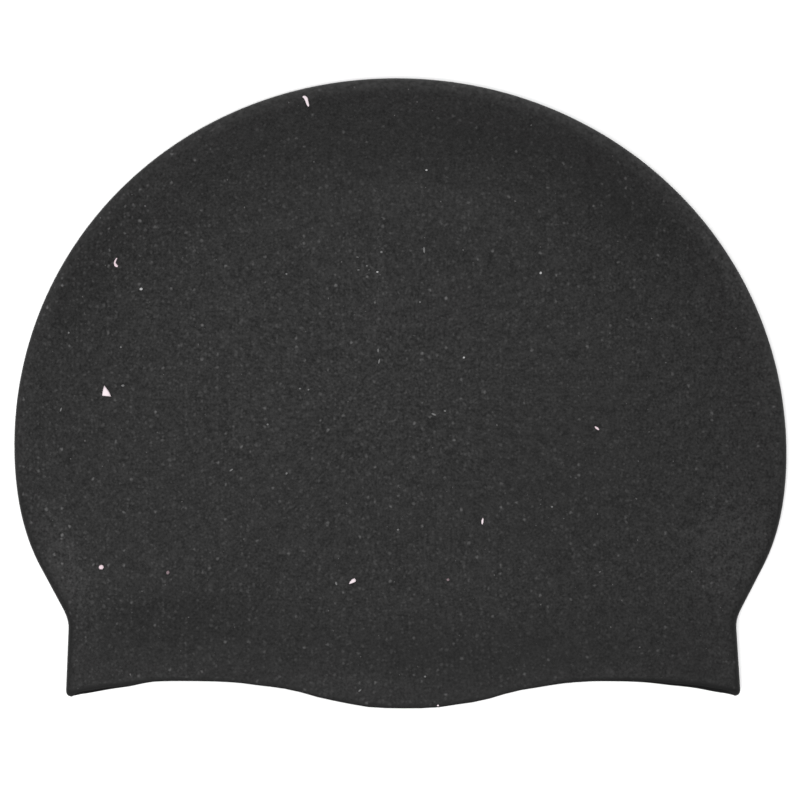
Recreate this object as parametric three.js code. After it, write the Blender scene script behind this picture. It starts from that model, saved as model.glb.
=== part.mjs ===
// A moulded silicone swim cap, lying flat as it does on a table.
// It is one piece: a thin-walled pouch. Its two walls meet in a round fold along the sides and the dome, and part
// at the wavy mouth, where the head goes in. The lower wall lies flat; the upper one keeps its moulded relief.
// Millimetres. X runs across the cap, Y from the mouth to the top of the dome, Z up from the table.

import * as THREE from "three";

// Outline, seen from above. Heights called UP are counted from the tip of the mouth's middle lobe.
const CAP_WIDTH = 230; // across the bulge, the widest place
const CAP_LENGTH = 187.5; // from the tip of the middle lobe to the top of the dome
const WIDEST_UP = 76.8; // where the cap is widest
const NECK_WIDTH = 198.6; // where the bulge pulls in to the headband
const NECK_UP = 26.3; // where the shoulder line meets the headband's side
const MOUTH_WIDTH = 201; // from corner to corner, a little wider than the neck
const MOUTH_ARCH = 8.1; // how far the mouth's arches rise above the tip of the lobe
const MOUTH_ROUND = 1.8; // the mouth's two corners are rounded over this length
const TUCK = 1.7; // the upper wall's edge stands back from the lower one's by up to this much
const LEAN = 2.15; // the dome's top lies this far left of the mouth's middle
const DOME_FULLNESS = 2.02; // 2 is an ellipse, more is squarer

// The shoulder is a straight line between the neck and the bulge, rounded at both ends.
const SHOULDER_RISE_SHARE = 0.588; // how much of the height from neck to widest place it takes
const NECK_ROUND_SHARE = 0.11; // of the shoulder and of the headband's side, rounded at the neck
const BULGE_ROUND_SHARE = 0.47; // of the shoulder, rounded into the bulge

// The mouth's edge from left to right. across is a share of half the mouth. rise is the lower wall's height there,
// as a share of the arch, and tuck is how far the upper wall stands back from it, as a share of the tuck.
const MOUTH_EDGE = [
  { across: -1, rise: 0.41, tuck: 0 },
  { across: -0.95, rise: 0.52, tuck: 0.85 },
  { across: -0.84, rise: 0.74, tuck: 0.7 },
  { across: -0.63, rise: 1, tuck: 0.35 },
  { across: -0.42, rise: 0.84, tuck: 0.3 },
  { across: -0.19, rise: 0.25, tuck: 0.35 },
  { across: 0, rise: 0, tuck: 0.35 },
  { across: 0.17, rise: 0.16, tuck: 0.35 },
  { across: 0.4, rise: 0.76, tuck: 0.4 },
  { across: 0.6, rise: 0.95, tuck: 0.65 },
  { across: 0.82, rise: 0.79, tuck: 0.85 },
  { across: 0.95, rise: 0.55, tuck: 1 },
  { across: 1, rise: 0.44, tuck: 0 },
];

// Walls and relief
const WALL = 1;
const FOLD_INNER_RADIUS = 1.6; // inside the fold where the two walls meet
const DOME_RISE = 10; // the upper wall's height over its fold, at the upper end of the dome's flat
const TROUGH_RISE = 6.3; // and in the shallow trough between the dome and the headband
const MOUTH_RISE = 10.3; // and at the mouth, where the headband flares
const TROUGH_UP = 35; // the trough's place
const DOME_BEVEL = 26; // the sloping band from the fold to the flat is this wide at the dome's top
const HEADBAND_BEVEL = 50; // and in the headband
const DOME_BEVEL_ROUND = 1.15; // 1 is a straight slope with a crease at its upper end
const HEADBAND_BEVEL_ROUND = 2.3; // 2 is a round one
const RIGHT_BEVEL_EXTRA = 0.75; // below the dome's top the right side's bands are wider, by up to this share
const LEAST_FACING = 0.88; // the bands are as wide round the mouth's corners as beside them
const LIP_DROOP = 1.6; // the middle lobe hangs this much below the flare
const LIP_DEPTH = 12; // over this length from the mouth's edge

// How finely the surface is divided
const STEPS = {
  corner: 3,
  headband: 6,
  neck: 3,
  shoulder: 3,
  bulge: 5,
  dome: 19,
};
const QUARTER_STATIONS = 13; // from a fold to the middle of a wall
const FOLD_CROWDING = 1.35; // stations crowd towards the folds, above 1
const LIP_CROWDING = 1.2; // the headband's sections crowd towards the mouth, above 1
const WAVE_FADES_UP = 68; // sections above this height are straight

const foldRadius = FOLD_INNER_RADIUS + WALL;
const capHalf = CAP_WIDTH / 2;
const neckHalf = NECK_WIDTH / 2;
const mouthHalf = MOUTH_WIDTH / 2;
const domeLength = CAP_LENGTH - WIDEST_UP;

const clamp01 = (t) => THREE.MathUtils.clamp(t, 0, 1);

// A smooth curve through a table's rows, read at one place.
function readTable(rows, key, value, at) {
  const slope = (i) => {
    const before = rows[Math.max(i - 1, 0)];
    const after = rows[Math.min(i + 1, rows.length - 1)];
    return (after[value] - before[value]) / (after[key] - before[key]);
  };
  let i = 0;
  while (i < rows.length - 2 && at > rows[i + 1][key]) i += 1;
  const span = rows[i + 1][key] - rows[i][key];
  const t = clamp01((at - rows[i][key]) / span);
  return (
    rows[i][value] * (1 + 2 * t) * (1 - t) ** 2 +
    rows[i + 1][value] * t * t * (3 - 2 * t) +
    slope(i) * span * t * (1 - t) ** 2 +
    slope(i + 1) * span * t * t * (t - 1)
  );
}

const mouthRise = (across) =>
  MOUTH_ARCH * readTable(MOUTH_EDGE, "across", "rise", across);

const mouthTuck = (across) =>
  TUCK * Math.max(0, readTable(MOUTH_EDGE, "across", "tuck", across));

// The mouth's corner lies on the same edge, and the sides start there.
const cornerUp = (mouthRise(-1) + mouthRise(1)) / 2;

// The right side below the widest place, as a path of lines and rounded corners: x is half the width, y the height.
function sidePath() {
  const corner = new THREE.Vector2(mouthHalf, cornerUp);
  const neck = new THREE.Vector2(neckHalf, NECK_UP);
  const bulge = new THREE.Vector2(
    capHalf,
    THREE.MathUtils.lerp(NECK_UP, WIDEST_UP, SHOULDER_RISE_SHARE),
  );
  const widest = new THREE.Vector2(capHalf, WIDEST_UP);
  const insideCorner = new THREE.Vector2(mouthHalf - MOUTH_ROUND, cornerUp);
  const overCorner = corner
    .clone()
    .lerp(neck, MOUTH_ROUND / corner.distanceTo(neck));
  const neckStart = neck.clone().lerp(corner, NECK_ROUND_SHARE);
  const neckEnd = neck.clone().lerp(bulge, NECK_ROUND_SHARE);
  const bulgeStart = bulge.clone().lerp(neck, BULGE_ROUND_SHARE);
  return [
    {
      curve: new THREE.QuadraticBezierCurve(insideCorner, corner, overCorner),
      steps: STEPS.corner,
    },
    {
      curve: new THREE.LineCurve(overCorner, neckStart),
      steps: STEPS.headband,
      crowding: LIP_CROWDING,
    },
    {
      curve: new THREE.QuadraticBezierCurve(neckStart, neck, neckEnd),
      steps: STEPS.neck,
    },
    { curve: new THREE.LineCurve(neckEnd, bulgeStart), steps: STEPS.shoulder },
    {
      curve: new THREE.QuadraticBezierCurve(bulgeStart, bulge, widest),
      steps: STEPS.bulge,
    },
  ];
}

// The sections of the pouch from the mouth to the last one before the dome's top.
// facing is how squarely the outline there faces sideways: 1 where it runs straight up.
function makeSections() {
  const sections = [];
  for (const { curve, steps, crowding = 1 } of sidePath())
    for (let i = 0; i < steps; i += 1) {
      const t = (i / steps) ** crowding;
      const point = curve.getPoint(t);
      sections.push({
        half: point.x,
        up: point.y,
        facing: Math.max(LEAST_FACING, Math.abs(curve.getTangent(t).y)),
      });
    }
  for (let i = 0; i < STEPS.dome; i += 1) {
    const angle = ((i / STEPS.dome) * Math.PI) / 2;
    sections.push({
      half: capHalf * Math.cos(angle) ** (2 / DOME_FULLNESS),
      up: WIDEST_UP + domeLength * Math.sin(angle) ** (2 / DOME_FULLNESS),
      facing: 1,
    });
  }
  return sections;
}

// How far a place lies in from the outline. In the dome it is measured towards the middle of the widest place.
function depthInOutline(section, x) {
  if (section.up < WIDEST_UP)
    return (section.half - Math.abs(x)) * section.facing;
  const above = section.up - WIDEST_UP;
  const spread =
    (Math.abs(x / capHalf) ** DOME_FULLNESS +
      (above / domeLength) ** DOME_FULLNESS) **
    (1 / DOME_FULLNESS);
  const reach = spread > 0 ? Math.hypot(x, above) / spread : capHalf;
  return reach * Math.max(0, 1 - spread);
}

// The fold's round outside: its height over the middle of the fold, at a depth in from the outline.
const foldHeight = (depth) =>
  Math.sqrt(foldRadius ** 2 - Math.max(0, foldRadius - depth) ** 2);

const lowerHeight = (depth) => foldRadius - foldHeight(depth);

// How high the middle of the upper wall stands over its fold: it falls from the dome's top to the trough,
// and rises again to the mouth.
function riseAt(up) {
  const dome = clamp01(
    (up - TROUGH_UP) / (CAP_LENGTH - DOME_BEVEL - TROUGH_UP),
  );
  const mouth = 1 - THREE.MathUtils.smoothstep(up, cornerUp, TROUGH_UP);
  return (
    TROUGH_RISE +
    (DOME_RISE - TROUGH_RISE) * dome ** 2 +
    (MOUTH_RISE - TROUGH_RISE) * mouth
  );
}

// The upper wall leaves the fold at the slope of the bevel, climbs it and flattens out.
function upperHeight(section, x, depth) {
  const along = clamp01((section.up - NECK_UP) / (CAP_LENGTH - NECK_UP));
  const rightward = Math.max(0, x / capHalf);
  const belowTop = 1 - clamp01((section.up - WIDEST_UP) / domeLength);
  const width =
    THREE.MathUtils.lerp(HEADBAND_BEVEL, DOME_BEVEL, along) *
    (1 + RIGHT_BEVEL_EXTRA * rightward * belowTop);
  const round = THREE.MathUtils.lerp(
    HEADBAND_BEVEL_ROUND,
    DOME_BEVEL_ROUND,
    along,
  );
  const rise = riseAt(section.up);
  const slope = Math.atan((round * rise) / width);
  const foldEnd = foldRadius * (1 - Math.sin(slope));
  const bevel = 1 - (1 - clamp01((depth - foldEnd) / width)) ** round;
  const fromEdge = clamp01((section.up - cornerUp) / LIP_DEPTH);
  const lobe = 1 - clamp01(mouthRise(x / section.half) / MOUTH_ARCH);
  return (
    foldRadius +
    foldHeight(Math.min(depth, foldEnd)) +
    (rise - LIP_DROOP * lobe * (1 - fromEdge) ** 2) * bevel
  );
}

// Station angles round a section: 0 at the right fold, over the upper wall to the left fold, back under it.
function stationAngles() {
  const quarter = [];
  for (let i = 0; i < QUARTER_STATIONS; i += 1)
    quarter.push((Math.PI / 2) * (i / QUARTER_STATIONS) ** FOLD_CROWDING);
  const half = [
    ...quarter,
    Math.PI / 2,
    ...quarter
      .slice(1)
      .reverse()
      .map((a) => Math.PI - a),
  ];
  return [...half, ...half.map((a) => a + Math.PI)];
}

// One point of the pouch's outside.
function outsidePoint(section, angle) {
  const across = Math.cos(angle);
  const x = section.half * across;
  const depth = depthInOutline(section, x);
  const isUpper = angle <= Math.PI;
  const fade =
    1 - THREE.MathUtils.smoothstep(section.up, cornerUp, WAVE_FADES_UP);
  const tuck = isUpper ? mouthTuck(across) : 0;
  return new THREE.Vector3(
    x + (LEAN * (WIDEST_UP - section.up)) / CAP_LENGTH,
    section.up + (mouthRise(across) - cornerUp + tuck) * fade,
    isUpper ? upperHeight(section, x, depth) : lowerHeight(depth),
  );
}

// The outside as an open sheet: rings of points from the mouth up, closed by one point at the dome's top.
function outsideSheet(sections, angles) {
  const points = sections.flatMap((section) =>
    angles.map((angle) => outsidePoint(section, angle)),
  );
  const topLean = (LEAN * domeLength) / CAP_LENGTH;
  points.push(new THREE.Vector3(-topLean, CAP_LENGTH, foldRadius));

  const count = angles.length;
  const faces = [];
  for (let ring = 0; ring < sections.length; ring += 1)
    for (let i = 0; i < count; i += 1) {
      const here = ring * count + i;
      const next = ring * count + ((i + 1) % count);
      if (ring === sections.length - 1) {
        faces.push(here, points.length - 1, next);
        continue;
      }
      faces.push(here, here + count, next + count);
      faces.push(here, next + count, next);
    }
  return { points, faces };
}

// The whole wall: the outside, the inside one wall thickness in along its normals, and the rim that joins them.
function pouchGeometry() {
  const sections = makeSections();
  const angles = stationAngles();
  const { points, faces } = outsideSheet(sections, angles);

  const sheet = new THREE.BufferGeometry().setFromPoints(points);
  sheet.setIndex(faces);
  sheet.computeVertexNormals();
  const normals = sheet.getAttribute("normal");

  const inside = points.map((point, i) => {
    const normal = new THREE.Vector3().fromBufferAttribute(normals, i);
    return point.clone().addScaledVector(normal, -WALL);
  });

  const all = [...faces];
  for (let i = 0; i < faces.length; i += 3)
    all.push(
      faces[i] + points.length,
      faces[i + 2] + points.length,
      faces[i + 1] + points.length,
    );
  for (let i = 0; i < angles.length; i += 1) {
    const next = (i + 1) % angles.length;
    all.push(i, next, next + points.length);
    all.push(i, next + points.length, i + points.length);
  }
  const wall = new THREE.BufferGeometry().setFromPoints([...points, ...inside]);
  wall.setIndex(all);
  return wall;
}

const blackSilicone = new THREE.MeshStandardMaterial({
  name: "black_silicone",
  color: 0x353535,
  roughness: 0.8,
  metalness: 0,
});

const cap = new THREE.Mesh(pouchGeometry(), blackSilicone);
cap.name = "cap_shell";
cap.position.y = -CAP_LENGTH / 2;

const swimCap = new THREE.Group();
swimCap.add(cap);

export default swimCap;
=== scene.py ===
"""A moulded silicone swim cap lying flat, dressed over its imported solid.

Metres. X runs across the cap, Y from the mouth to the top of the dome, Z up from the table.
"""

import math

import bmesh
import bpy
from bpy.props import FloatProperty, FloatVectorProperty, IntProperty, PointerProperty
from mathutils import Matrix, Vector
from mathutils.bvhtree import BVHTree


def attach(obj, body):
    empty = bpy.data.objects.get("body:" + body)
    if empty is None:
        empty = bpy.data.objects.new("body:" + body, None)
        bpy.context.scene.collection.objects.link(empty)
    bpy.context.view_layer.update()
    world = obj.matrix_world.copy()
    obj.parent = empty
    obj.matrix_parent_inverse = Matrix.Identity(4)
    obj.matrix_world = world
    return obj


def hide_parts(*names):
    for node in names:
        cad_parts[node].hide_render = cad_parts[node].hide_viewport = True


bl_info = {
    "name": "Moulded Swim Cap",
    "version": (1, 0, 0),
    "blender": (4, 5, 0),
    "location": "View3D > Sidebar > Swim Cap",
    "description": "Builds a silicone swim cap lying flat, with its dust and lint, over the packed solid",
    "category": "Add Mesh",
}

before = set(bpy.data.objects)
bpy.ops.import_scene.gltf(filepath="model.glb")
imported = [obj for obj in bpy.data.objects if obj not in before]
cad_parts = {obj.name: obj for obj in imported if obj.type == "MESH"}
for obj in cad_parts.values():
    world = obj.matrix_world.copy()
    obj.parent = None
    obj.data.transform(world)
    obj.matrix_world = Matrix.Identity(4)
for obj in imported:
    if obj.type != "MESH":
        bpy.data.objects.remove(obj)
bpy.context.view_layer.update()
MM = 0.001
WELD_GAP = 1e-6

# The mouth's edge from left to right. across is a share of half the mouth. rise is the lower wall's height
# there, as a share of the arch. tuck is how far the upper wall stands back from it, as a share of the tuck.
MOUTH_EDGE = [
    {"across": -1, "rise": 0.41, "tuck": 0},
    {"across": -0.95, "rise": 0.52, "tuck": 0.85},
    {"across": -0.84, "rise": 0.74, "tuck": 0.7},
    {"across": -0.63, "rise": 1, "tuck": 0.35},
    {"across": -0.42, "rise": 0.84, "tuck": 0.3},
    {"across": -0.19, "rise": 0.25, "tuck": 0.35},
    {"across": 0, "rise": 0, "tuck": 0.35},
    {"across": 0.17, "rise": 0.16, "tuck": 0.35},
    {"across": 0.4, "rise": 0.76, "tuck": 0.4},
    {"across": 0.6, "rise": 0.95, "tuck": 0.65},
    {"across": 0.82, "rise": 0.79, "tuck": 0.85},
    {"across": 0.95, "rise": 0.55, "tuck": 1},
    {"across": 1, "rise": 0.44, "tuck": 0},
]


def length(name, description, default):
    """A size in metres for the sidebar."""
    return FloatProperty(
        name=name,
        description=description,
        default=default,
        min=0,
        precision=5,
        subtype="DISTANCE",
        unit="LENGTH",
    )


def factor(name, description, default, highest=1):
    """A plain number for the sidebar."""
    return FloatProperty(
        name=name,
        description=description,
        default=default,
        min=0,
        max=highest,
        precision=3,
    )


def shade(name, description, default):
    """A colour for the sidebar."""
    return FloatVectorProperty(
        name=name,
        description=description,
        subtype="COLOR",
        default=default,
        min=0,
        max=1,
    )


class CapSizes(bpy.types.PropertyGroup):
    """The cap's outline and relief."""

    cap_width: length("Cap Width", "Across the bulge", 230 * MM)
    cap_length: length("Cap Length", "From the mouth's lobe to the dome's top", 187.5 * MM)
    widest_up: length("Widest Up", "Where the cap is widest", 76.8 * MM)
    neck_width: length("Neck Width", "Where the bulge meets the headband", 198.6 * MM)
    neck_up: length("Neck Up", "Where the shoulder line meets the headband", 26.3 * MM)
    mouth_width: length("Mouth Width", "From corner to corner", 201 * MM)
    mouth_arch: length("Mouth Arch", "How far the arches rise above the lobe", 8.1 * MM)
    mouth_round: length("Mouth Corner Round", "Rounding of the mouth's two corners", 1.8 * MM)
    tuck: length("Tuck", "The upper edge stands back by up to this", 1.3 * MM)
    lean: length("Lean", "The dome's top lies this far to the left", 2.15 * MM)
    dome_fullness: factor("Dome Fullness", "2 is an ellipse, more is squarer", 2.02, 4)
    wall: length("Wall", "Thickness of the silicone", 1 * MM)
    fold_inner_radius: length("Fold Radius", "Inside the fold", 1.6 * MM)
    dome_rise: length("Dome Rise", "The upper wall over its fold, at the dome's top", 10 * MM)
    trough_rise: length("Trough Rise", "And in the trough above the headband", 6.3 * MM)
    mouth_rise: length("Mouth Rise", "And at the mouth", 10.3 * MM)
    trough_up: length("Trough Up", "The trough's place", 35 * MM)
    dome_bevel: length("Dome Bevel", "Width of the dome's sloping band", 26 * MM)
    headband_bevel: length("Headband Bevel", "And of the headband's", 50 * MM)
    dome_bevel_round: factor("Dome Bevel Round", "1 is a straight slope", 1.15, 4)
    headband_bevel_round: factor("Headband Bevel Round", "2 is a round one", 2.3, 4)
    right_bevel_extra: factor("Right Bevel Extra", "The right side's bands are wider by this share", 0.75)
    lip_droop: length("Lip Droop", "The middle lobe hangs this much", 1.6 * MM)
    lip_depth: length("Lip Depth", "Over this length from the edge", 12 * MM)
    wave_fades_up: length("Wave Fades Up", "Sections above this are straight", 68 * MM)
    parting_ridge: length("Parting Ridge", "Height of the mould's parting line", 0.12 * MM)
    parting_width: length("Parting Width", "Half the width of the parting line", 0.3 * MM)
    unevenness: length("Unevenness", "How far the limp upper wall wanders", 0.25 * MM)
    edge_round: length("Edge Round", "Rounding of the mouth's cut edge", 0.25 * MM)
    stations: IntProperty(
        name="Stations",
        description="Steps round the pouch, a multiple of four",
        default=176,
        min=16,
    )
    sections: IntProperty(
        name="Sections",
        description="Steps from the mouth to the dome's top",
        default=150,
        min=16,
    )
    fold_crowding: factor("Fold Crowding", "Stations crowd towards the folds", 1.5, 4)
    mouth_crowding: factor("Mouth Crowding", "Less crowds the sections more towards the mouth", 0.3)


class CapFinish(bpy.types.PropertyGroup):
    """The silicone's colour and gloss."""

    silicone: shade("Silicone", "The clean silicone's colour", (0.0032, 0.0032, 0.0032))
    # Painted shade: the inside colour is darker than the clean silicone, so the lower wall under the upper
    # one and the headband's folds read as in shadow.
    inside: shade("Inside", "And that of the lower wall and the headband's folds", (0.0008, 0.0008, 0.0008))
    dust: shade("Dust Film", "The colour of the finest dust, that no flake stands for", (0.2, 0.198, 0.198))
    haze: factor("Haze", "How much of the upper side the dust film hides", 0.032)
    roughness: factor("Roughness", "How matte the moulded surface is", 0.62)
    gloss: factor("Gloss", "0.5 is the full mirror share of silicone", 0.15)


class DustSizes(bpy.types.PropertyGroup):
    """The dust and the lint that lie on the cap."""

    flakes: factor("Flakes", "Flakes of dust on a square metre", 26000, 1e7)
    largest: length("Largest Flake", "Width of the largest flake of dust", 0.55 * MM)
    streak_across: FloatProperty(
        name="Streak Across",
        description="Where the dust streak runs, from the cap's middle",
        default=-6.6 * MM,
        precision=5,
        subtype="DISTANCE",
        unit="LENGTH",
    )
    seed: IntProperty(
        name="Seed",
        description="Another number scatters the dust another way",
        default=7,
        min=0,
    )
    colour: shade("Dust Colour", "The flakes' colour", (0.05, 0.049, 0.049))
    white_lint: shade("White Lint", "The palest lint", (0.52, 0.45, 0.475))
    pink_lint: shade("Pink Lint", "The pinkish lint", (0.46, 0.37, 0.4))
    pale_lint: shade("Pale Lint", "The small pale crumbs", (0.25, 0.25, 0.25))
    rust_lint: shade("Rust Lint", "The dim reddish crumbs", (0.12, 0.085, 0.095))
    grey_lint: shade("Grey Lint", "The grey crumbs and slivers", (0.085, 0.085, 0.085))


class StageSizes(bpy.types.PropertyGroup):
    """The floor, the light and the camera."""

    pixel: length("Pixel", "What one pixel of the picture covers at the fold", 0.2982 * MM)
    lens: factor("Lens", "Focal length in millimetres", 200, 300)
    floor: shade("Floor", "The floor's colour", (0.86, 0.86, 0.86))
    key: factor("Key Light", "Power of the soft light at the mouth's left, in watts", 21.3, 1000)
    top: factor("Top Light", "Power of the soft light overhead, in watts", 8.5, 1000)
    sky: factor("Sky", "Brightness of the even light all round", 1.12, 10)


class NodeSheet:
    """Adds nodes to one tree and lays them out in columns, each to the right of what feeds it."""

    COLUMN_WIDTH = 190
    ROW_HEIGHT = 170

    def __init__(self, tree):
        self.tree = tree
        self.rows = {}
        self.columns = {}

    def add(self, kind, inputs=None, **settings):
        node = self.tree.nodes.new(kind)
        for name, value in settings.items():
            setattr(node, name, value)
        column = 0
        for key, value in (inputs or {}).items():
            column = max(column, self.plug(node.inputs[key], value))
        row = self.rows.get(column, 0)
        self.rows[column] = row + 1
        self.columns[node.name] = column
        node.location = (column * self.COLUMN_WIDTH, -row * self.ROW_HEIGHT)
        return node

    def plug(self, socket, value):
        """Links a field or sets a plain value. Returns the first column that is free after it."""
        if isinstance(value, Field):
            self.tree.links.new(value.socket, socket)
            return self.columns.get(value.socket.node.name, 0) + 1
        if isinstance(value, bpy.types.NodeSocket):
            self.tree.links.new(value, socket)
            return self.columns.get(value.node.name, 0) + 1
        socket.default_value = value
        return 0

    def field(self, kind, inputs=None, output=0, **settings):
        return Field(self, self.add(kind, inputs, **settings).outputs[output])

    def math(self, operation, *values, clamp=False):
        return self.field(
            "ShaderNodeMath",
            dict(enumerate(values)),
            operation=operation,
            use_clamp=clamp,
        )


class Field:
    """A value in a node tree, so that a formula reads as it does on paper."""

    def __init__(self, sheet, socket):
        self.sheet = sheet
        self.socket = socket

    def __add__(self, other):
        return self.sheet.math("ADD", self, other)

    def __radd__(self, other):
        return self.sheet.math("ADD", other, self)

    def __sub__(self, other):
        return self.sheet.math("SUBTRACT", self, other)

    def __rsub__(self, other):
        return self.sheet.math("SUBTRACT", other, self)

    def __mul__(self, other):
        return self.sheet.math("MULTIPLY", self, other)

    def __rmul__(self, other):
        return self.sheet.math("MULTIPLY", other, self)

    def __truediv__(self, other):
        return self.sheet.math("DIVIDE", self, other)

    def __rtruediv__(self, other):
        return self.sheet.math("DIVIDE", other, self)

    def __pow__(self, other):
        return self.sheet.math("POWER", self, other)

    def at_least(self, other):
        return self.sheet.math("MAXIMUM", self, other)

    def at_most(self, other):
        return self.sheet.math("MINIMUM", self, other)

    def below(self, other):
        return self.sheet.math("LESS_THAN", self, other)

    def size(self):
        return self.sheet.math("ABSOLUTE", self)

    def root(self):
        return self.sheet.math("SQRT", self)

    def share(self):
        """Held between 0 and 1."""
        return self.sheet.math("ADD", self, 0, clamp=True)

    def between(self, low, high, start=0, end=1, smooth=False):
        """Runs from start to end while this runs from low to high, and stays there outside."""
        return self.sheet.field(
            "ShaderNodeMapRange",
            {"Value": self, "From Min": low, "From Max": high, "To Min": start, "To Max": end},
            interpolation_type="SMOOTHSTEP" if smooth else "LINEAR",
        )

    def choose(self, otherwise, chosen):
        """The chosen value where this is 1, and the other where it is 0."""
        return self.sheet.field(
            "ShaderNodeMapRange",
            {"Value": self, "To Min": otherwise, "To Max": chosen},
        )

    def read_off(self, rows, key, value):
        """Reads a smooth curve through a table's rows."""
        place = self.between(rows[0][key], rows[-1][key])
        node = self.sheet.add("ShaderNodeFloatCurve", {"Value": place})
        curve = node.mapping.curves[0]
        span = rows[-1][key] - rows[0][key]
        curve.points[0].location = (0, rows[0][value])
        curve.points[1].location = (1, rows[-1][value])
        for row in rows[1:-1]:
            curve.points.new((row[key] - rows[0][key]) / span, row[value])
        node.mapping.update()
        return Field(self.sheet, node.outputs[0])


SOCKETS = {"length": "NodeSocketFloat", "number": "NodeSocketFloat", "count": "NodeSocketInt"}


def property_name(label):
    """The sidebar's name for what a tree's input is called."""
    return label.lower().replace(" ", "_")


def start_tree(name, inputs):
    """A geometry tree with named inputs. Returns the tree, its sheet and its inputs as fields."""
    tree = bpy.data.node_groups.new(name, "GeometryNodeTree")
    tree.interface.new_socket("Geometry", in_out="INPUT", socket_type="NodeSocketGeometry")
    tree.interface.new_socket("Geometry", in_out="OUTPUT", socket_type="NodeSocketGeometry")
    for label, kind in inputs:
        socket = tree.interface.new_socket(label, in_out="INPUT", socket_type=SOCKETS[kind])
        if kind == "length":
            socket.subtype = "DISTANCE"
    sheet = NodeSheet(tree)
    entry = sheet.add("NodeGroupInput")
    fields = {label: Field(sheet, entry.outputs[label]) for label, _ in inputs}
    fields["Geometry"] = Field(sheet, entry.outputs["Geometry"])
    return tree, sheet, fields


def end_tree(sheet, geometry, material):
    """Realizes what the tree made, gives it its material and hands it out."""
    real = sheet.field("GeometryNodeRealizeInstances", {"Geometry": geometry})
    painted = sheet.field(
        "GeometryNodeSetMaterial",
        {"Geometry": real, "Material": material},
    )
    sheet.add("NodeGroupOutput", {"Geometry": painted})


def grow(name, data, tree, values):
    """Runs a geometry tree on one object and returns its result as a plain mesh object."""
    source = bpy.data.objects.new(name, data)
    bpy.context.scene.collection.objects.link(source)
    modifier = source.modifiers.new(tree.name, "NODES")
    modifier.node_group = tree
    for item in tree.interface.items_tree:
        if item.item_type == "SOCKET" and item.in_out == "INPUT" and item.name in values:
            modifier[item.identifier] = values[item.name]
    bpy.context.view_layer.update()
    evaluated = source.evaluated_get(bpy.context.evaluated_depsgraph_get())
    mesh = bpy.data.meshes.new_from_object(evaluated)
    mesh.name = name
    source.modifiers.remove(modifier)
    bpy.data.objects.remove(source)
    return add_object(name, mesh)


def add_object(name, mesh):
    piece = bpy.data.objects.new(name, mesh)
    bpy.context.scene.collection.objects.link(piece)
    return piece


def bake_modifiers(piece):
    """Applies the modifiers that finish a piece."""
    bpy.context.view_layer.update()
    evaluated = piece.evaluated_get(bpy.context.evaluated_depsgraph_get())
    mesh = bpy.data.meshes.new_from_object(evaluated)
    piece.modifiers.clear()
    piece.data = mesh


def corner_up(sizes):
    """The height of the mouth's corners."""
    return sizes.mouth_arch * (MOUTH_EDGE[0]["rise"] + MOUTH_EDGE[-1]["rise"]) / 2


def rounded(start, corner, end, steps):
    """A corner rounded by a quadratic curve, without its last point."""
    points = []
    for i in range(steps):
        t = i / steps
        points.append(start * (1 - t) ** 2 + corner * 2 * t * (1 - t) + end * t * t)
    return points


def outline_curve(sizes):
    """The cap's right side from the mouth's corner to the dome's top, as a curve in the XY plane."""
    shoulder_share = 0.588
    neck_round = 0.11
    bulge_round = 0.47
    half = sizes.cap_width / 2
    corner = Vector((sizes.mouth_width / 2, corner_up(sizes), 0))
    neck = Vector((sizes.neck_width / 2, sizes.neck_up, 0))
    bulge_up = sizes.neck_up + (sizes.widest_up - sizes.neck_up) * shoulder_share
    bulge = Vector((half, bulge_up, 0))
    widest = Vector((half, sizes.widest_up, 0))
    inside_corner = corner - Vector((sizes.mouth_round, 0, 0))
    over_corner = corner.lerp(neck, sizes.mouth_round / (neck - corner).length)
    points = rounded(inside_corner, corner, over_corner, 8)
    points.append(over_corner)
    points += rounded(neck.lerp(corner, neck_round), neck, neck.lerp(bulge, neck_round), 12)
    points.append(neck.lerp(bulge, neck_round))
    points += rounded(bulge.lerp(neck, bulge_round), bulge, widest, 30)
    dome_length = sizes.cap_length - sizes.widest_up
    power = 2 / sizes.dome_fullness
    dome_steps = 160
    for i in range(dome_steps + 1):
        angle = math.pi / 2 * i / dome_steps
        across = max(math.cos(angle), 0) ** power
        up = math.sin(angle) ** power
        points.append(Vector((half * across, sizes.widest_up + dome_length * up, 0)))
    curve = bpy.data.curves.new("cap_outline", "CURVE")
    curve.dimensions = "3D"
    spline = curve.splines.new("POLY")
    spline.points.add(len(points) - 1)
    for point, place in zip(spline.points, points):
        point.co = (*place, 1)
    return curve


POUCH_INPUTS = (
    ("Stations", "count"),
    ("Sections", "count"),
    ("Fold Crowding", "number"),
    ("Mouth Crowding", "number"),
    ("Half Width", "length"),
    ("Cap Length", "length"),
    ("Widest Up", "length"),
    ("Neck Up", "length"),
    ("Corner Up", "length"),
    ("Mouth Arch", "length"),
    ("Tuck", "length"),
    ("Lean", "length"),
    ("Dome Fullness", "number"),
    ("Wall", "length"),
    ("Fold Inner Radius", "length"),
    ("Dome Rise", "length"),
    ("Trough Rise", "length"),
    ("Mouth Rise", "length"),
    ("Trough Up", "length"),
    ("Dome Bevel", "length"),
    ("Headband Bevel", "length"),
    ("Dome Bevel Round", "number"),
    ("Headband Bevel Round", "number"),
    ("Right Bevel Extra", "number"),
    ("Lip Droop", "length"),
    ("Lip Depth", "length"),
    ("Wave Fades Up", "length"),
    ("Parting Ridge", "length"),
    ("Parting Width", "length"),
    ("Unevenness", "length"),
)


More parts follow.
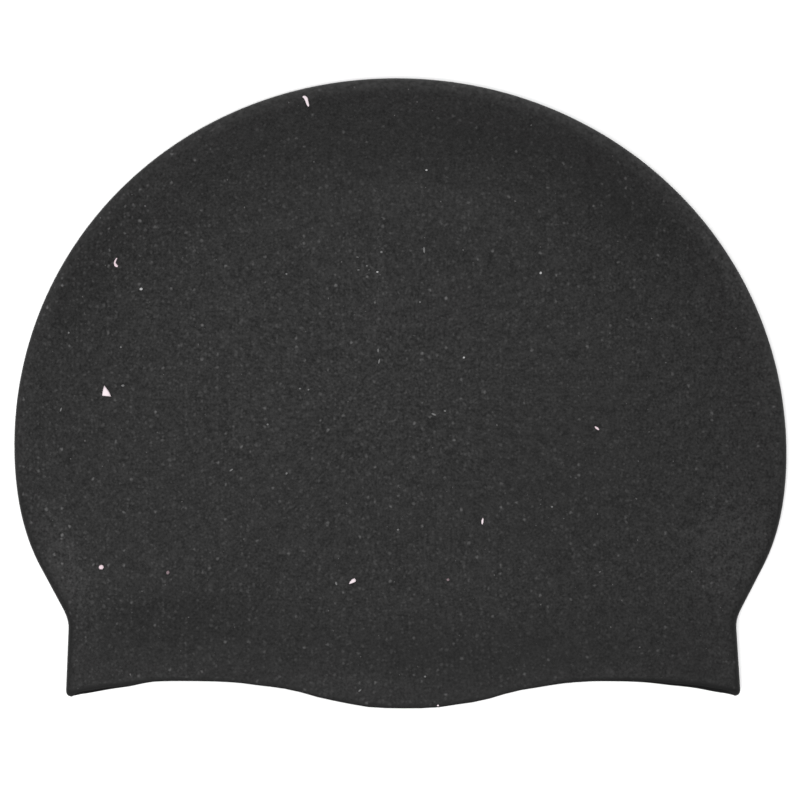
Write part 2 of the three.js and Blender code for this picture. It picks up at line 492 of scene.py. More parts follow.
def depth_in_outline(size, half, up, facing, x):
    """The way in from the outline, which in the dome is measured towards the widest section's middle."""
    beside = (half - x.size()) * facing
    above = (up - size["Widest Up"]).at_least(0)
    fullness = size["Dome Fullness"]
    dome_length = size["Cap Length"] - size["Widest Up"]
    smallest_spread = 1e-6
    spread = (x.size() / size["Half Width"]) ** fullness + (above / dome_length) ** fullness
    spread = spread ** (1 / fullness)
    reach = (x * x + above * above).root() / spread.at_least(smallest_spread)
    inward = reach * (1 - spread).at_least(0)
    return up.below(size["Widest Up"]).choose(inward, beside)


def rise_at(size, up):
    """How high the middle of the upper wall stands over its fold."""
    dome_end = size["Cap Length"] - size["Dome Bevel"]
    dome = up.between(size["Trough Up"], dome_end)
    mouth = up.between(size["Corner Up"], size["Trough Up"], 1, 0, smooth=True)
    from_dome = (size["Dome Rise"] - size["Trough Rise"]) * dome * dome
    from_mouth = (size["Mouth Rise"] - size["Trough Rise"]) * mouth
    return size["Trough Rise"] + from_dome + from_mouth


def pouch_tree(material):
    """The pouch: sections along the outline from the mouth to the dome's top, with a fold at both sides."""
    tree, sheet, size = start_tree("Pouch Along an Outline", POUCH_INPUTS)
    grid = sheet.field(
        "GeometryNodeMeshGrid",
        {
            "Size X": 1.0,
            "Size Y": 1.0,
            "Vertices X": size["Stations"] + 1,
            "Vertices Y": size["Sections"],
        },
    )
    place = sheet.field("GeometryNodeInputPosition")
    parts = sheet.add("ShaderNodeSeparateXYZ", {"Vector": place})
    around = (Field(sheet, parts.outputs["X"]) + 0.5) * 4
    along = Field(sheet, parts.outputs["Y"]) + 0.5
    crowding = size["Mouth Crowding"]
    along = along * (crowding + (1 - crowding) * along)

    sample = sheet.add(
        "GeometryNodeSampleCurve",
        {"Curves": size["Geometry"], "Factor": along},
        mode="FACTOR",
        use_all_curves=True,
    )
    spot = sheet.add("ShaderNodeSeparateXYZ", {"Vector": sample.outputs["Position"]})
    way = sheet.add("ShaderNodeSeparateXYZ", {"Vector": sample.outputs["Tangent"]})
    half = Field(sheet, spot.outputs["X"])
    up = Field(sheet, spot.outputs["Y"])
    flattest = 0.88
    facing = Field(sheet, way.outputs["Y"]).size().at_least(flattest)

    turn = sheet.math("PINGPONG", around, 1) ** size["Fold Crowding"] * (math.pi / 2)
    is_left = (around - 2).size().below(1)
    last_upper_station = 2.00001
    is_upper = around.below(last_upper_station)
    across = sheet.math("COSINE", turn) * is_left.choose(1, -1)
    x = half * across
    depth = depth_in_outline(size, half, up, facing, x)

    fold_radius = size["Fold Inner Radius"] + size["Wall"]

    def fold_height(reached):
        missing = (fold_radius - reached).at_least(0)
        return (fold_radius * fold_radius - missing * missing).at_least(0).root()

    rise = rise_at(size, up)
    bevel_place = up.between(size["Neck Up"], size["Cap Length"])
    width = bevel_place.choose(size["Headband Bevel"], size["Dome Bevel"])
    rightward = (x / size["Half Width"]).at_least(0)
    below_top = up.between(size["Widest Up"], size["Cap Length"], 1, 0)
    width = width * (1 + size["Right Bevel Extra"] * rightward * below_top)
    roundness = bevel_place.choose(size["Headband Bevel Round"], size["Dome Bevel Round"])
    slope = sheet.math("ARCTANGENT", roundness * rise / width)
    fold_end = fold_radius * (1 - sheet.math("SINE", slope))
    bevel = 1 - (1 - ((depth - fold_end) / width).share()) ** roundness

    wave_rise = across.read_off(MOUTH_EDGE, "across", "rise")
    wave_tuck = across.read_off(MOUTH_EDGE, "across", "tuck") * size["Tuck"] * is_upper
    droop_place = up.between(size["Corner Up"], size["Corner Up"] + size["Lip Depth"], 1, 0)
    droop = size["Lip Droop"] * (1 - wave_rise) * droop_place * droop_place

    drift = sheet.field(
        "ShaderNodeTexNoise",
        {"Vector": place, "Scale": 3.1, "Detail": 1.5},
        noise_dimensions="3D",
    )
    wander = (drift - 0.5) * 2 * size["Unevenness"]
    upper = fold_radius + fold_height(depth.at_most(fold_end)) + (rise - droop + wander) * bevel
    lower = fold_radius - fold_height(depth)
    z = is_upper.choose(lower, upper)

    fade = up.between(size["Corner Up"], size["Wave Fades Up"], 1, 0, smooth=True)
    wave = (wave_rise * size["Mouth Arch"] - size["Corner Up"] + wave_tuck) * fade
    lean = size["Lean"] * (size["Widest Up"] - up) / size["Cap Length"]
    y = up + wave - size["Cap Length"] * 0.5
    target = sheet.field("ShaderNodeCombineXYZ", {"X": x + lean, "Y": y, "Z": z})

    ridge_place = fold_height(depth.at_most(fold_end)) / size["Parting Width"]
    ridge = (1 - ridge_place * ridge_place).at_least(0) * size["Parting Ridge"]
    keep = sheet.add("GeometryNodeCaptureAttribute", {"Geometry": grid}, domain="POINT")
    keep.capture_items.new("FLOAT", "Ridge")
    sheet.plug(keep.inputs["Ridge"], ridge)
    moved = sheet.field(
        "GeometryNodeSetPosition",
        {"Geometry": keep.outputs["Geometry"], "Position": target},
    )
    welded = sheet.field("GeometryNodeMergeByDistance", {"Geometry": moved, "Distance": WELD_GAP})
    closed = sheet.field("GeometryNodeFlipFaces", {"Mesh": welded})
    normal = sheet.field("GeometryNodeInputNormal")

    def along_normal(distance):
        return sheet.field("ShaderNodeVectorMath", {0: normal, "Scale": distance}, operation="SCALE")

    lift = along_normal(keep.outputs["Ridge"])
    outside = sheet.field("GeometryNodeSetPosition", {"Geometry": closed, "Offset": lift})
    inward = along_normal(size["Wall"] * -1)
    inside = sheet.field(
        "GeometryNodeExtrudeMesh",
        {"Mesh": outside, "Offset": inward, "Offset Scale": 1.0, "Individual": False},
        mode="FACES",
    )
    turned = sheet.field("GeometryNodeFlipFaces", {"Mesh": inside})
    both = sheet.add("GeometryNodeJoinGeometry")
    sheet.plug(both.inputs[0], turned)
    sheet.plug(both.inputs[0], outside)
    sheet.columns[both.name] = sheet.columns[turned.socket.node.name] + 1
    wall = sheet.field(
        "GeometryNodeMergeByDistance",
        {"Geometry": both.outputs[0], "Distance": WELD_GAP},
    )
    smooth = sheet.field("GeometryNodeSetShadeSmooth", {"Geometry": wall})
    end_tree(sheet, smooth, material)
    return tree


class SWIMCAP_OT_shell(bpy.types.Operator):
    """Moulds the cap's thin wall: both sides of the pouch, the fold, the relief and the wavy mouth"""

    bl_idname = "swimcap.shell"
    bl_label = "Moulded Cap"

    def execute(self, context):
        sizes = context.scene.cap_sizes
        worked_out = {"Half Width": sizes.cap_width / 2, "Corner Up": corner_up(sizes)}
        values = dict(worked_out)
        for label, _ in POUCH_INPUTS:
            if label not in worked_out:
                values[label] = getattr(sizes, property_name(label))
        material = silicone_material(context.scene.cap_finish, sizes)
        tree = pouch_tree(material)
        shell = grow("moulded_cap", outline_curve(sizes), tree, values)
        if not shell.data.polygons:
            raise RuntimeError("the pouch tree made no faces")
        edge = shell.modifiers.new("edge_round", "BEVEL")
        edge.width = sizes.edge_round
        edge.segments = 3
        edge.limit_method = "ANGLE"
        edge.angle_limit = math.radians(60)
        bake_modifiers(shell)
        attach(shell, "root")
        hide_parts("cap_shell")
        return {"FINISHED"}


DUST_INPUTS = (
    ("Flakes", "number"),
    ("Largest", "length"),
    ("Above", "length"),
    ("Streak Across", "length"),
    ("Seed", "count"),
)


def dust_tree(material):
    """Scatters fine flakes over the upper side of a mesh, thicker in clouds and along one streak."""
    tree, sheet, size = start_tree("Dust on the Upper Side", DUST_INPUTS)
    place = sheet.add("ShaderNodeSeparateXYZ", {"Vector": sheet.field("GeometryNodeInputPosition")})
    x, y, z = (Field(sheet, place.outputs[axis]) for axis in "XYZ")
    facing = sheet.add("ShaderNodeSeparateXYZ", {"Vector": sheet.field("GeometryNodeInputNormal")})
    upward = Field(sheet, facing.outputs["Z"]).between(0.5, 0.95)
    is_upper = z.between(size["Above"], size["Above"] + 0.1 * MM)
    clouds = sheet.field("ShaderNodeTexNoise", {"Scale": 22.0, "Detail": 3.0}).between(0.3, 0.7)
    half_streak = 1.2 * MM
    beside = (x - size["Streak Across"]) / half_streak
    streak = (1 - beside * beside).at_least(0) * y.between(0, 25 * MM) * y.between(45 * MM, 60 * MM, 1, 0)
    points = sheet.add(
        "GeometryNodeDistributePointsOnFaces",
        {
            "Mesh": size["Geometry"],
            "Density": size["Flakes"] * (0.45 + clouds * 1.1 + streak * 3) * upward * is_upper,
            "Seed": size["Seed"],
        },
        distribute_method="RANDOM",
    )
    flake = sheet.field("GeometryNodeMeshIcoSphere", {"Radius": 0.5, "Subdivisions": 1})

    def chance(draw, low, high):
        sockets = {2: low, 3: high, "Seed": size["Seed"] + draw}
        return sheet.field("FunctionNodeRandomValue", sockets, output=1)

    smallest_share = 0.22
    rarity = 9
    width = size["Largest"] * (smallest_share + (1 - smallest_share) * chance(1, 0, 1) ** rarity)
    length = width * chance(2, 0.8, 1.7)
    scale = sheet.field("ShaderNodeCombineXYZ", {"X": length, "Y": width, "Z": width * 0.45})
    twist = sheet.field("ShaderNodeCombineXYZ", {"Z": chance(3, 0, math.tau)})
    turned = sheet.field(
        "FunctionNodeRotateRotation",
        {"Rotation": Field(sheet, points.outputs["Rotation"]), "Rotate By": twist},
        rotation_space="LOCAL",
    )
    flakes = sheet.field(
        "GeometryNodeInstanceOnPoints",
        {"Points": points.outputs["Points"], "Instance": flake, "Rotation": turned, "Scale": scale},
    )
    end_tree(sheet, flakes, material)
    return tree


class SWIMCAP_OT_dust(bpy.types.Operator):
    """Scatters fine flakes of dust over the cap's upper side"""

    bl_idname = "swimcap.dust"
    bl_label = "Dust"

    def execute(self, context):
        sizes = context.scene.dust_sizes
        cap = context.scene.cap_sizes
        values = {
            "Flakes": sizes.flakes,
            "Largest": sizes.largest,
            "Above": cap.fold_inner_radius + cap.wall,
            "Streak Across": sizes.streak_across,
            "Seed": sizes.seed,
        }
        material = plain_material("pale_dust", sizes.colour, 0.9)
        shell = bpy.data.objects["moulded_cap"]
        dust = grow("dust_flakes", shell.data.copy(), dust_tree(material), values)
        if not dust.data.polygons:
            raise RuntimeError("the dust tree made no flakes")
        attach(dust, "root")
        return {"FINISHED"}


# Flat pieces of lint, by shape. Each outline runs anticlockwise, in shares of the piece's length and width.
LINT_OUTLINES = {
    "chip": [(-0.5, -0.48), (0.5, -0.5), (0.2, -0.02), (-0.34, 0.5), (-0.45, 0.1)],
    "leaf": [
        (-0.5, -0.4),
        (-0.05, -0.3),
        (0.4, -0.12),
        (0.5, 0.2),
        (0.3, 0.5),
        (-0.02, 0.38),
        (-0.32, 0.02),
    ],
    "crumb": [
        (-0.4, -0.3),
        (0.05, -0.5),
        (0.42, -0.28),
        (0.5, 0.14),
        (0.2, 0.5),
        (-0.28, 0.42),
        (-0.5, 0.06),
    ],
    "sliver": [(-0.5, -0.1), (-0.1, -0.5), (0.38, -0.42), (0.5, 0.05), (0.1, 0.5), (-0.35, 0.35)],
}

# Bent strands of lint: points along the middle and the width there, in shares of the strand's length.
# aside is counted to the left of its way.
LINT_STRANDS = {
    "hook": [
        {"along": -0.5, "aside": -0.12, "width": 0.12},
        {"along": -0.42, "aside": 0, "width": 0.24},
        {"along": -0.24, "aside": 0.05, "width": 0.28},
        {"along": 0.02, "aside": 0.02, "width": 0.23},
        {"along": 0.28, "aside": -0.02, "width": 0.2},
        {"along": 0.5, "aside": -0.04, "width": 0.1},
    ],
    "comma": [
        {"along": 0.5, "aside": 0.02, "width": 0.1},
        {"along": 0.2, "aside": 0.14, "width": 0.18},
        {"along": -0.12, "aside": 0.16, "width": 0.22},
        {"along": -0.34, "aside": 0, "width": 0.32},
        {"along": -0.46, "aside": -0.26, "width": 0.2},
    ],
}

# Where the lint of each shade lies, in millimetres from the cap's middle. turn is in degrees, anticlockwise
# from above. A strand takes its width from its own table.
LINT = {
    "white": [
        {"shape": "hook", "across": -27.9, "up": 86.8, "long": 3.7, "wide": 3.7, "turn": -65},
        {"shape": "chip", "across": -86.9, "up": 0.6, "long": 2.7, "wide": 3.1, "turn": -4},
        {"shape": "leaf", "across": -14.2, "up": -55.8, "long": 2.2, "wide": 1.7, "turn": 6},
        {"shape": "sliver", "across": 24.3, "up": -38, "long": 2, "wide": 0.6, "turn": 85},
        {"shape": "crumb", "across": 11.1, "up": -92.4, "long": 0.6, "wide": 0.5, "turn": 0},
    ],
    "pink": [
        {"shape": "comma", "across": -84.3, "up": 38.8, "long": 2.6, "wide": 2.6, "turn": 80},
        {"shape": "crumb", "across": -88.8, "up": -51.7, "long": 1.5, "wide": 1.4, "turn": 20},
        {"shape": "sliver", "across": 58.2, "up": -10.4, "long": 1.7, "wide": 0.65, "turn": -35},
    ],
    "pale": [
        {"shape": "crumb", "across": -76.8, "up": 30.8, "long": 1, "wide": 0.8, "turn": 10},
        {"shape": "crumb", "across": 41.5, "up": 35.5, "long": 0.8, "wide": 0.7, "turn": 40},
        {"shape": "crumb", "across": 7.7, "up": 65.9, "long": 0.7, "wide": 0.5, "turn": 0},
        {"shape": "crumb", "across": -6.8, "up": 35.8, "long": 0.7, "wide": 0.5, "turn": 0},
        {"shape": "crumb", "across": 18.8, "up": 10.5, "long": 0.7, "wide": 0.6, "turn": 30},
    ],
    "rust": [
        {"shape": "crumb", "across": -68.9, "up": -53.2, "long": 1.2, "wide": 1, "turn": 70},
        {"shape": "crumb", "across": 14.1, "up": -55.3, "long": 0.9, "wide": 0.8, "turn": 0},
    ],
    "grey": [
        {"shape": "sliver", "across": -19, "up": -56.4, "long": 1.2, "wide": 0.6, "turn": -70},
        {"shape": "crumb", "across": -82.2, "up": 2.2, "long": 1, "wide": 0.7, "turn": 0},
        {"shape": "sliver", "across": 7, "up": 42.3, "long": 1.9, "wide": 0.6, "turn": 95},
        {"shape": "sliver", "across": -6.3, "up": 9.4, "long": 1.6, "wide": 0.5, "turn": 78},
        {"shape": "sliver", "across": -6.6, "up": 12.6, "long": 1.2, "wide": 0.5, "turn": 92},
        {"shape": "sliver", "across": 9.9, "up": -6.3, "long": 1.6, "wide": 0.6, "turn": -18},
        {"shape": "crumb", "across": 13.2, "up": -5.3, "long": 0.7, "wide": 0.6, "turn": 0},
        {"shape": "crumb", "across": -5.6, "up": 41.7, "long": 0.8, "wide": 0.7, "turn": 0},
        {"shape": "crumb", "across": -9.9, "up": 37.6, "long": 0.6, "wide": 0.5, "turn": 0},
        {"shape": "sliver", "across": -12.4, "up": 36.4, "long": 0.9, "wide": 0.3, "turn": 5},
        {"shape": "sliver", "across": -12.7, "up": 40.2, "long": 0.8, "wide": 0.3, "turn": -8},
        {"shape": "crumb", "across": 5.8, "up": 26.9, "long": 0.6, "wide": 0.5, "turn": 0},
        {"shape": "crumb", "across": -29.7, "up": 1.3, "long": 0.7, "wide": 0.5, "turn": 0},
        {"shape": "crumb", "across": -27.2, "up": 1, "long": 0.6, "wide": 0.5, "turn": 0},
        {"shape": "crumb", "across": -39.3, "up": -9.3, "long": 0.7, "wide": 0.6, "turn": 0},
        {"shape": "crumb", "across": -33.7, "up": 35.2, "long": 0.6, "wide": 0.6, "turn": 0},
        {"shape": "crumb", "across": -33.7, "up": -23.8, "long": 0.8, "wide": 0.6, "turn": 60},
        {"shape": "sliver", "across": -50.1, "up": -22.8, "long": 1.3, "wide": 0.5, "turn": 35},
        {"shape": "crumb", "across": -82.8, "up": 13.6, "long": 0.6, "wide": 0.6, "turn": 0},
        {"shape": "crumb", "across": -98.5, "up": 17.9, "long": 0.6, "wide": 0.6, "turn": 0},
        {"shape": "sliver", "across": -100.8, "up": -4.9, "long": 1.3, "wide": 0.45, "turn": 70},
        {"shape": "crumb", "across": -0.7, "up": -40.5, "long": 0.7, "wide": 0.6, "turn": 0},
        {"shape": "crumb", "across": 44.9, "up": -33.7, "long": 0.7, "wide": 0.6, "turn": 0},
        {"shape": "crumb", "across": 7.3, "up": -83.8, "long": 0.7, "wide": 0.6, "turn": 0},
        {"shape": "sliver", "across": -12, "up": -87.9, "long": 1.1, "wide": 0.5, "turn": 40},
    ],
}


# Soft ovals that make the film of dust lighter or darker, in millimetres from the cap's middle. All but the
# last are painted light and shade that make up for how the relief is lit; the last one is a real streak of
# dust. long and wide are half an oval's length and width. more is a share of the film.
FILM_AND_SHADE_PATCHES = [
    {"across": -30, "up": 10, "long": 75, "wide": 62, "turn": 0, "more": 0.2},
    {"across": 52, "up": -28, "long": 45, "wide": 38, "turn": 20, "more": -0.17},
    {"across": 25, "up": -78, "long": 58, "wide": 14, "turn": 0, "more": -0.27},
    {"across": -72, "up": -66, "long": 44, "wide": 15, "turn": 0, "more": -0.3},
    {"across": 68, "up": 55, "long": 42, "wide": 14, "turn": -42, "more": -0.38},
    {"across": 28, "up": 76, "long": 36, "wide": 9, "turn": -9, "more": -0.25},
    {"across": 8, "up": 56, "long": 40, "wide": 11, "turn": 0, "more": 0.22},
    {"across": -92, "up": 40, "long": 42, "wide": 14, "turn": 62, "more": -0.28},
    {"across": -72, "up": 64, "long": 44, "wide": 7, "turn": 41, "more": 0.24},
    {"across": 98, "up": -46, "long": 18, "wide": 28, "turn": -12, "more": 0.5},
    {"across": -98, "up": -53, "long": 9, "wide": 26, "turn": 24, "more": 0.65},
    {"across": 97, "up": -80, "long": 12, "wide": 18, "turn": 0, "more": 0.25},
    {"across": 68, "up": -84, "long": 20, "wide": 6, "turn": 3, "more": 0.35},
    {"across": -74, "up": -84, "long": 16, "wide": 5, "turn": 4, "more": 0.3},
    {"across": -96, "up": -80, "long": 8, "wide": 16, "turn": 0, "more": 0.3},
    {"across": -14, "up": -85, "long": 22, "wide": 7, "turn": -8, "more": 0.3},
    {"across": -6.6, "up": 34, "long": 32, "wide": 1.5, "turn": 90, "more": 0.5},
]

# The specks in the film. scale is how many lie on a metre. share is how many of them show. radius is a share
# of the way to the next one. cover is how much of the silicone the thickest one hides.
FILM_SPECKS = [
    {"scale": 560, "share": 0.7, "radius": 0.45, "cover": 0.09},
    {"scale": 860, "share": 0.6, "radius": 0.5, "cover": 0.09},
    {"scale": 430, "share": 0.25, "radius": 0.3, "cover": 0.3},
]


def flake_mesh(build, outline, long, wide, thick):
    """A thin flake over an outline: an upright rim, a bevel and a low peak. Returns its corners."""
    ring_levels = ((1, -0.3), (1, 0.35), (0.72, 0.85))
    rings = []
    for share, height in ring_levels:
        ring = [build.verts.new((x * long * share, y * wide * share, height * thick)) for x, y in outline]
        rings.append(ring)
    peak = build.verts.new((0, 0, thick))
    for lower, upper in zip(rings, rings[1:]):
        for i in range(len(outline)):
            j = (i + 1) % len(outline)
            build.faces.new((lower[i], lower[j], upper[j], upper[i]))
    for i in range(len(outline)):
        build.faces.new((rings[-1][i], rings[-1][(i + 1) % len(outline)], peak))
    build.faces.new(list(reversed(rings[0])))
    return [corner for ring in rings for corner in ring] + [peak]


def strand_mesh(build, rows, long):
    """A bent strand of changing width, flatter than it is wide. Returns its corners."""
    sides = 8
    steps = 5
    flatness = 0.5
    stations = []
    for i in range(len(rows) - 1):
        before = rows[max(i - 1, 0)]
        start = rows[i]
        end = rows[i + 1]
        after = rows[min(i + 2, len(rows) - 1)]
        for step in range(steps):
            t = step / steps
            stations.append({key: through(before[key], start[key], end[key], after[key], t) for key in start})
    stations.append(rows[-1])
    rings = []
    for i, station in enumerate(stations):
        nearby = stations[max(i - 1, 0)], stations[min(i + 1, len(stations) - 1)]
        way = Vector([nearby[1][key] - nearby[0][key] for key in ("along", "aside")]).normalized()
        middle = Vector((station["along"], station["aside"])) * long
        radius = station["width"] * long / 2
        ring = []
        for side in range(sides):
            angle = math.tau * side / sides
            aside = Vector((-way.y, way.x)) * math.cos(angle) * radius
            ring.append(build.verts.new((*(middle + aside), math.sin(angle) * radius * flatness)))
        rings.append(ring)
    for lower, upper in zip(rings, rings[1:]):
        for i in range(sides):
            j = (i + 1) % sides
            build.faces.new((lower[i], upper[i], upper[j], lower[j]))
    build.faces.new(rings[0])
    build.faces.new(list(reversed(rings[-1])))
    return [corner for ring in rings for corner in ring]


def through(before, start, end, after, t):
    """A smooth curve through four values, between the middle two."""
    bend = 2 * before - 5 * start + 4 * end - after
    twist = 3 * (start - end) + after - before
    return start + 0.5 * t * (end - before + t * (bend + t * twist))


class SWIMCAP_OT_lint(bpy.types.Operator):
    """Lays the chips, crumbs, slivers and strands of lint on the cap, each where the table puts it"""

    bl_idname = "swimcap.lint"
    bl_label = "Lint"

    def execute(self, context):
        sizes = context.scene.dust_sizes
        shell = bpy.data.objects["moulded_cap"]
        ground = BVHTree.FromPolygons(
            [corner.co for corner in shell.data.vertices],
            [face.vertices for face in shell.data.polygons],
        )
        for shade, rows in LINT.items():
            name = f"{shade}_lint"
            build = bmesh.new()
            for row in rows:
                self.lay(build, ground, row)
            mesh = bpy.data.meshes.new(name)
            bmesh.ops.recalc_face_normals(build, faces=build.faces)
            build.to_mesh(mesh)
            build.free()
            mesh.materials.append(plain_material(name, getattr(sizes, name), 0.85))
            mesh.shade_smooth()
            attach(add_object(name, mesh), "root")
        return {"FINISHED"}

    def lay(self, build, ground, row):
        long = row["long"] * MM
        wide = row["wide"] * MM
        over_the_cap = 100 * MM
        thick_share = 0.3
        start = Vector((row["across"] * MM, row["up"] * MM, over_the_cap))
        spot, normal, _, _ = ground.ray_cast(start, Vector((0, 0, -1)))
        if spot is None:
            raise RuntimeError(f"no cap under the {row['shape']} at {row['across']}, {row['up']}")
        if row["shape"] in LINT_STRANDS:
            corners = strand_mesh(build, LINT_STRANDS[row["shape"]], long)
        else:
            thick = min(long, wide) * thick_share
            corners = flake_mesh(build, LINT_OUTLINES[row["shape"]], long, wide, thick)
        lean = Vector((0, 0, 1)).rotation_difference(normal).to_matrix().to_4x4()
        turn = Matrix.Rotation(math.radians(row["turn"]), 4, "Z")
        bmesh.ops.transform(build, matrix=Matrix.Translation(spot) @ lean @ turn, verts=corners)


def silicone_material(finish, sizes):
    """Matte black silicone under a film of dust that is uneven and speckled, with a painted highlight on the
    rim, patches of painted light and shade in the film, and painted shade on the lower wall, the headband's
    folds and the mouth's edge.
    """
    material = bpy.data.materials.new("dusty_black_silicone")
    material.use_nodes = True
    material.node_tree.nodes.clear()
    sheet = NodeSheet(material.node_tree)
    where = sheet.add("ShaderNodeTexCoord").outputs["Object"]
    facing = sheet.add("ShaderNodeNewGeometry").outputs["Normal"]
    tilt = sheet.add("ShaderNodeSeparateXYZ", {"Vector": facing})
    upward = Field(sheet, tilt.outputs["Z"]).between(0.45, 0.93, smooth=True)
    place = sheet.add("ShaderNodeSeparateXYZ", {"Vector": where})
    right, up, height = (Field(sheet, place.outputs[axis]) for axis in "XYZ")
    # Dust lies where outer is 1. The lower wall and the headband's folds have none, and there the silicone
    # takes the darker inside colour, painted shade.
    above_neck = up.between(-42 * MM, -28 * MM)
    outer = height.between(1.5 * MM, 2.5 * MM) * height.between(3.5 * MM, 5.4 * MM).at_least(above_neck)
    # The rim's lighter band is a painted highlight, as of light caught on the fold. It starts over the neck,
    # and is stronger at the right and at the dome's top.
    rim_highlight_share = up.between(-35 * MM, 35 * MM) * right.between(-60 * MM, 40 * MM, 0.27, 0.5)
    rim_highlight_share = rim_highlight_share + up.between(70 * MM, 92 * MM) * 0.28
    rim = height.between(4 * MM, 6.2 * MM, 1, 0) * rim_highlight_share
    # Painted shade: the dust stops short of the mouth's edge, leaving a dark line along it.
    from_middle = (right - sizes.lean * sizes.widest_up / sizes.cap_length) / (sizes.mouth_width / 2)
    edge_up = from_middle.read_off(MOUTH_EDGE, "across", "rise") * sizes.mouth_arch - sizes.cap_length / 2
    edge_up = edge_up + from_middle.read_off(MOUTH_EDGE, "across", "tuck") * sizes.tuck
    off_edge = (up - edge_up).between(0.2 * MM, 1.4 * MM)

    def noise(scale, detail, roughness=0.5):
        return sheet.field(
            "ShaderNodeTexNoise",
            {"Vector": where, "Scale": scale, "Detail": detail, "Roughness": roughness},
        )

    shake = 0.9 * MM
    wobble = sheet.add("ShaderNodeTexNoise", {"Vector": where, "Scale": 1100, "Detail": 1})
    shaken = sheet.field(
        "ShaderNodeVectorMath",
        {0: wobble.outputs["Color"], 1: (shake, shake, shake), 2: where},
        operation="MULTIPLY_ADD",
    )

    def specks(row):
        cells = sheet.add("ShaderNodeTexVoronoi", {"Vector": shaken, "Scale": row["scale"]})
        shade = sheet.add("ShaderNodeSeparateColor", {"Color": cells.outputs["Color"]})
        chosen = Field(sheet, shade.outputs["Red"]).between(1 - row["share"], 1)
        middle = row["radius"] * 0.1
        near = Field(sheet, cells.outputs["Distance"]).between(middle, row["radius"], 1, 0, smooth=True)
        return chosen * near * row["cover"]

    def patch(row):
        inside = sheet.field(
            "ShaderNodeMapping",
            {
                "Vector": where,
                "Location": (row["across"] * MM, row["up"] * MM, 0),
                "Rotation": (0, 0, math.radians(row["turn"])),
                "Scale": (row["long"] * MM, row["wide"] * MM, 1),
            },
            vector_type="TEXTURE",
        )
        reach = sheet.field("ShaderNodeVectorMath", {0: inside}, output=1, operation="LENGTH")
        return reach.between(0, 1, row["more"], 0, smooth=True)

    # Painted light and shade: all patches but the streak brighten or darken the film where the relief is lit
    # differently.
    film_and_painted_shade = 1
    for row in FILM_AND_SHADE_PATCHES:
        film_and_painted_shade = film_and_painted_shade + patch(row)
    mottle = noise(320, 2, 0.8) - 0.5
    grain = noise(1300, 2, 0.6) - 0.5
    mottle_cover = 0.075
    grain_cover = 0.15
    dots = 0
    for row in FILM_SPECKS:
        dots = dots + specks(row)
    headband = up.between(-75 * MM, -60 * MM, 0.75, 1)
    thinning = right.between(0, 110 * MM, 1, 0.55) * up.between(50 * MM, 90 * MM, 1, 0.45) * headband
    evenness = up.between(45 * MM, 75 * MM, 1, 0.7) * headband
    film = finish.haze + (mottle * mottle_cover + grain * grain_cover) * evenness
    # Painted highlight: the rim's lighter band, broken up by noise, is added to the dust cover below.
    rim_highlight_breakup = noise(640, 1).between(0.35, 0.65, 0.55, 1.45)
    rim_highlight_strength = 0.128
    cover = (film * film_and_painted_shade + dots * thinning) * upward * off_edge * outer + rim * outer * rim_highlight_breakup * rim_highlight_strength

    def mix(share, start, end):
        sockets = {0: share, 6: start, 7: end}
        return sheet.field("ShaderNodeMix", sockets, output=2, data_type="RGBA")

    # Painted shade: away from the dust the silicone turns to the darker inside colour.
    silicone_or_painted_shade = mix(outer, (*finish.inside, 1), (*finish.silicone, 1))
    colour = mix(cover, silicone_or_painted_shade, (*finish.dust, 1))
    roughness = finish.roughness + (noise(90, 2) - 0.5) * 0.08 + cover * 0.4
    silicone_ior = 1.41
    pits = noise(5200, 2)
    ripple = noise(240, 2)
    relief = sheet.field(
        "ShaderNodeBump",
        {"Strength": 0.35, "Distance": 0.03 * MM, "Height": pits + ripple * 1.5},
    )
    shader = sheet.add(
        "ShaderNodeBsdfPrincipled",
        {
            "Base Color": colour,
            "Roughness": roughness,
            "Normal": relief,
            "IOR": silicone_ior,
            "Specular IOR Level": finish.gloss,
        },
    )
    sheet.add("ShaderNodeOutputMaterial", {"Surface": shader.outputs[0]})
    return material


def plain_material(name, colour, roughness):
    material = bpy.data.materials.new(name)
    material.use_nodes = True
    shader = material.node_tree.nodes["Principled BSDF"]
    shader.inputs["Base Color"].default_value = (*colour, 1)
    shader.inputs["Roughness"].default_value = roughness
    return material


def soft_light(name, place, side, power):
    """A square lamp that faces the cap's middle."""
    lamp = bpy.data.lights.new(name, "AREA")
    lamp.shape = "RECTANGLE"
    lamp.size = side
    lamp.size_y = side
    lamp.energy = power
    piece = bpy.data.objects.new(name, lamp)
    bpy.context.scene.collection.objects.link(piece)
    piece.location = place
    cap_middle = Vector((0, 0, 0))
    piece.rotation_euler = (cap_middle - Vector(place)).to_track_quat("-Z", "Y").to_euler()


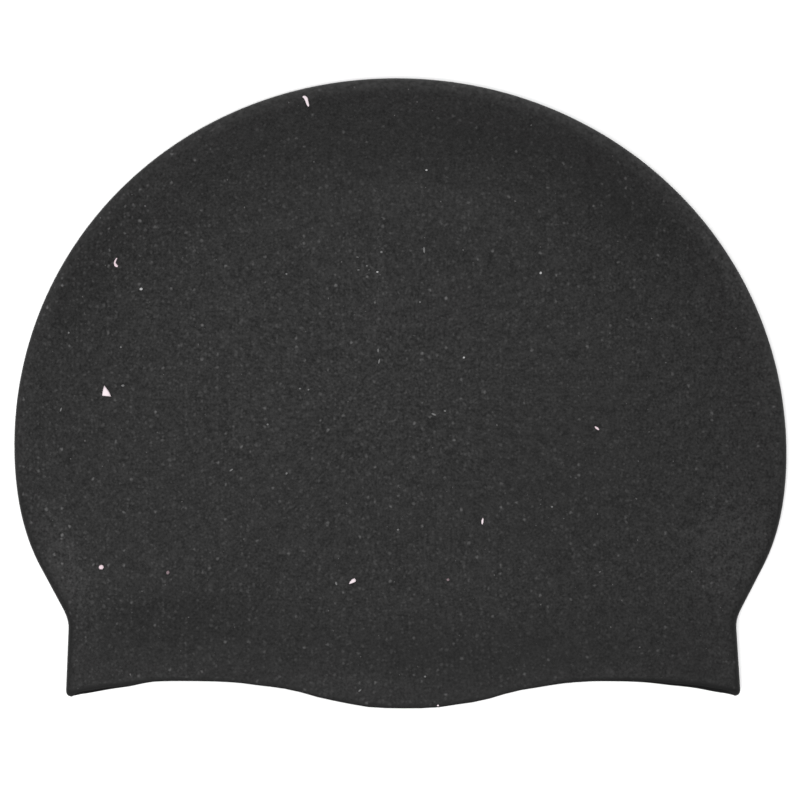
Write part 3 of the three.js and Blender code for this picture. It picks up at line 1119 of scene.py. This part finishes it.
class SWIMCAP_OT_stage(bpy.types.Operator):
    """Lays the pale floor, and sets the soft light and the camera straight above the cap"""

    bl_idname = "swimcap.stage"
    bl_label = "Floor, Light and Camera"

    def execute(self, context):
        scene = context.scene
        sizes = scene.stage_sizes
        cap = scene.cap_sizes
        reach = 2.5
        corners = [(-reach, -reach, 0), (reach, -reach, 0), (reach, reach, 0), (-reach, reach, 0)]
        mesh = bpy.data.meshes.new("floor")
        mesh.from_pydata(corners, [], [(0, 1, 2, 3)])
        mesh.materials.append(plain_material("pale_floor", sizes.floor, 0.9))
        add_object("floor", mesh)

        world = bpy.data.worlds.new("even_light")
        world.use_nodes = True
        sky = world.node_tree.nodes["Background"]
        sky.inputs["Color"].default_value = (1, 1, 1, 1)
        sky.inputs["Strength"].default_value = sizes.sky
        scene.world = world
        soft_light("key_light", (-0.91, -0.91, 1.53), 1.2, sizes.key)
        soft_light("top_light", (0, 0, 1.5), 0.7, sizes.top)

        picture_pixels = 800
        fold_height = cap.fold_inner_radius + cap.wall
        camera = bpy.data.cameras.new("camera")
        camera.lens = sizes.lens
        distance = picture_pixels * sizes.pixel * camera.lens / camera.sensor_width
        camera.clip_end = 20
        viewer = bpy.data.objects.new("camera", camera)
        scene.collection.objects.link(viewer)
        picture_middle_pixels = Vector((-0.4, -6.95))
        picture_middle = picture_middle_pixels * sizes.pixel
        viewer.location = (*picture_middle, fold_height + distance)
        scene.camera = viewer
        scene.view_settings.view_transform = "Standard"
        return {"FINISHED"}


GROUPS = {
    "cap_sizes": CapSizes,
    "cap_finish": CapFinish,
    "dust_sizes": DustSizes,
    "stage_sizes": StageSizes,
}
OPERATORS = (SWIMCAP_OT_shell, SWIMCAP_OT_dust, SWIMCAP_OT_lint, SWIMCAP_OT_stage)


class SWIMCAP_PT_panel(bpy.types.Panel):
    """Lists the steps that build the cap"""

    bl_label = "Swim Cap"
    bl_idname = "SWIMCAP_PT_panel"
    bl_space_type = "VIEW_3D"
    bl_region_type = "UI"
    bl_category = "Swim Cap"

    def draw(self, context):
        layout = self.layout
        for operator in OPERATORS:
            layout.operator(operator.bl_idname)
        for group_name in GROUPS:
            group = getattr(context.scene, group_name)
            box = layout.box()
            for name in group.__annotations__:
                box.prop(group, name)


CLASSES = (*GROUPS.values(), *OPERATORS, SWIMCAP_PT_panel)


def register():
    for cls in CLASSES:
        bpy.utils.register_class(cls)
    for name, group in GROUPS.items():
        setattr(bpy.types.Scene, name, PointerProperty(type=group))


def unregister():
    for name in GROUPS:
        delattr(bpy.types.Scene, name)
    for cls in reversed(CLASSES):
        bpy.utils.unregister_class(cls)


def main():
    register()
    bpy.ops.swimcap.shell()
    bpy.ops.swimcap.dust()
    bpy.ops.swimcap.lint()
    bpy.ops.swimcap.stage()


if __name__ == "__main__":
    main()
